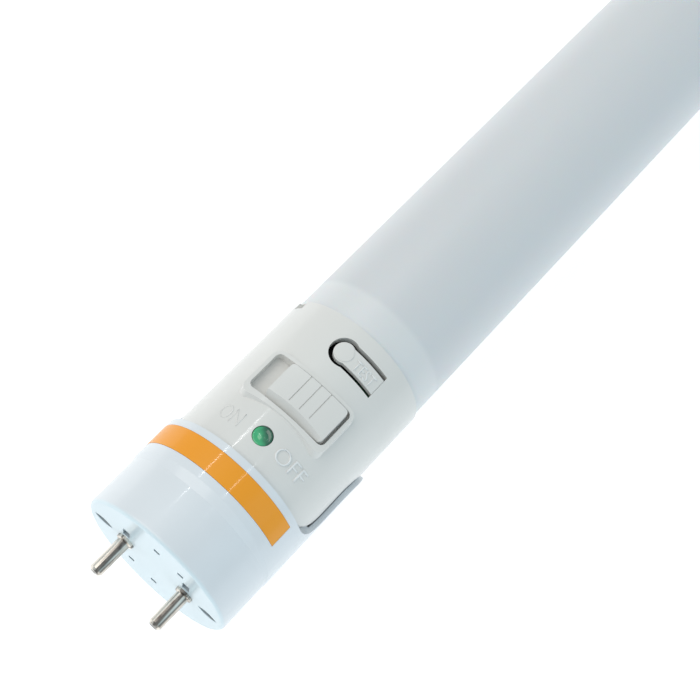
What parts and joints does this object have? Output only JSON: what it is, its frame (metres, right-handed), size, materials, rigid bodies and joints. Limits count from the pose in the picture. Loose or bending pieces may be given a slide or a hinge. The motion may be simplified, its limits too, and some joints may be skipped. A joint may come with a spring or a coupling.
{
  "type": "led light tube",
  "caption": "Frosted LED light tube with turning two-pin end caps, a control housing with a slide switch and a test button, and a battery pack inside.",
  "frame": {"origin": "centre of the switch-end cap's face, midway between its two pins", "axes": "+X along the lamp from the switch-end cap's face to the far cap's face, +Z on the side with the switch, +Y across along the line of the pins"},
  "size_m": [0.604, 0.0293, 0.0296],
  "materials": {
    "cap_white": "smooth moulded, slightly cool white",
    "housing_white": "smooth moulded, warm white",
    "band_orange": "glossy orange insert",
    "frosted_diffuser": "frosted translucent polycarbonate",
    "nickel_pins": "nickel-plated brass, lightly tarnished",
    "rail_aluminium": "extruded, satin",
    "screw_steel": "plated steel",
    "spring_steel": "spring steel",
    "light_board_white": "white solder mask",
    "board_green": "green solder mask on glass laminate",
    "package_yellow": "phosphor window in a white case",
    "status_green": "green tinted resin",
    "nylon_white": "natural nylon",
    "switch_black": "moulded black",
    "core_black": "ferrite and tape",
    "cell_can": null,
    "wrap_blue": "shrink film",
    "capacitor_can": "sleeved can",
    "tape_grey": "double-sided foam tape",
    "lead_insulation": "silicone insulation"
  },
  "bodies": {
    "lamp_body": {"near_retaining_ring": "spring_steel", "near_rail_screw": "screw_steel", "far_retaining_ring": "spring_steel", "far_rail_screw": "screw_steel", "control_housing": "housing_white", "slide_switch_body": "switch_black", "tact_switch_body": "switch_black", "status_led": "status_green", "status_led_spacer": "nylon_white", "control_board": "board_green", "control_board_screws": "screw_steel", "diffuser_tube": "frosted_diffuser", "heatsink_rail": "rail_aluminium", "led_board": "light_board_white", "led_packages": "package_yellow", "battery_cell_1": "cell_can", "battery_cell_2": "cell_can", "battery_cell_3": "cell_can", "battery_wrap": "wrap_blue", "battery_tape": "tape_grey", "driver_board": "board_green", "driver_standoffs": "nylon_white", "driver_screws": "screw_steel", "driver_transformer": "core_black", "driver_capacitors": "capacitor_can", "driver_choke": "core_black", "battery_leads": "lead_insulation", "pin_leads": "lead_insulation", "control_harness": "lead_insulation", "far_pin_leads": "lead_insulation", "far_collar": "housing_white"},
    "near_cap": {"near_end_cap": "cap_white", "indicator_band": "band_orange", "near_pin_left": "nickel_pins", "near_pin_right": "nickel_pins", "near_pin_clamp": "nylon_white", "near_clamp_screws": "screw_steel"},
    "far_cap": {"far_end_cap": "cap_white", "far_pin_left": "nickel_pins", "far_pin_right": "nickel_pins", "far_pin_clamp": "nylon_white", "far_clamp_screws": "screw_steel"},
    "knob": {"switch_knob": "housing_white", "switch_actuator": "switch_black"},
    "test_arm": {"test_lever": "housing_white"},
    "push_plunger": {"tact_plunger": "switch_black"}
  },
  "joints": [
    {"name": "near_cap_turn", "type": "hinge", "parent": "lamp_body", "child": "near_cap", "pos_m": [0, 0, 0], "axis": [1, 0, 0], "range_deg": [-4, 10]},
    {"name": "far_cap_turn", "type": "hinge", "parent": "lamp_body", "child": "far_cap", "pos_m": [0.5898, 0, 0], "axis": [1, 0, 0], "range_deg": [-4, 10]},
    {"name": "knob_slide", "type": "slide", "parent": "lamp_body", "child": "knob", "axis": [0, 1, 0], "range_m": [0, 0.0026]},
    {"name": "test_press", "type": "hinge", "parent": "lamp_body", "child": "test_arm", "pos_m": [0.0433, -0.00743, 0.0111], "axis": [-1, 0, 0], "range_deg": [0, 3], "stiffness_Nm_per_rad": 0.2},
    {"name": "plunger_press", "type": "slide", "parent": "lamp_body", "child": "push_plunger", "axis": [0, 0, -1], "range_m": [0, 0.00045]}
  ],
  "couplings": [
    {"joint": "plunger_press", "follows": "test_press", "m_per_rad": 0.0078}
  ]
}
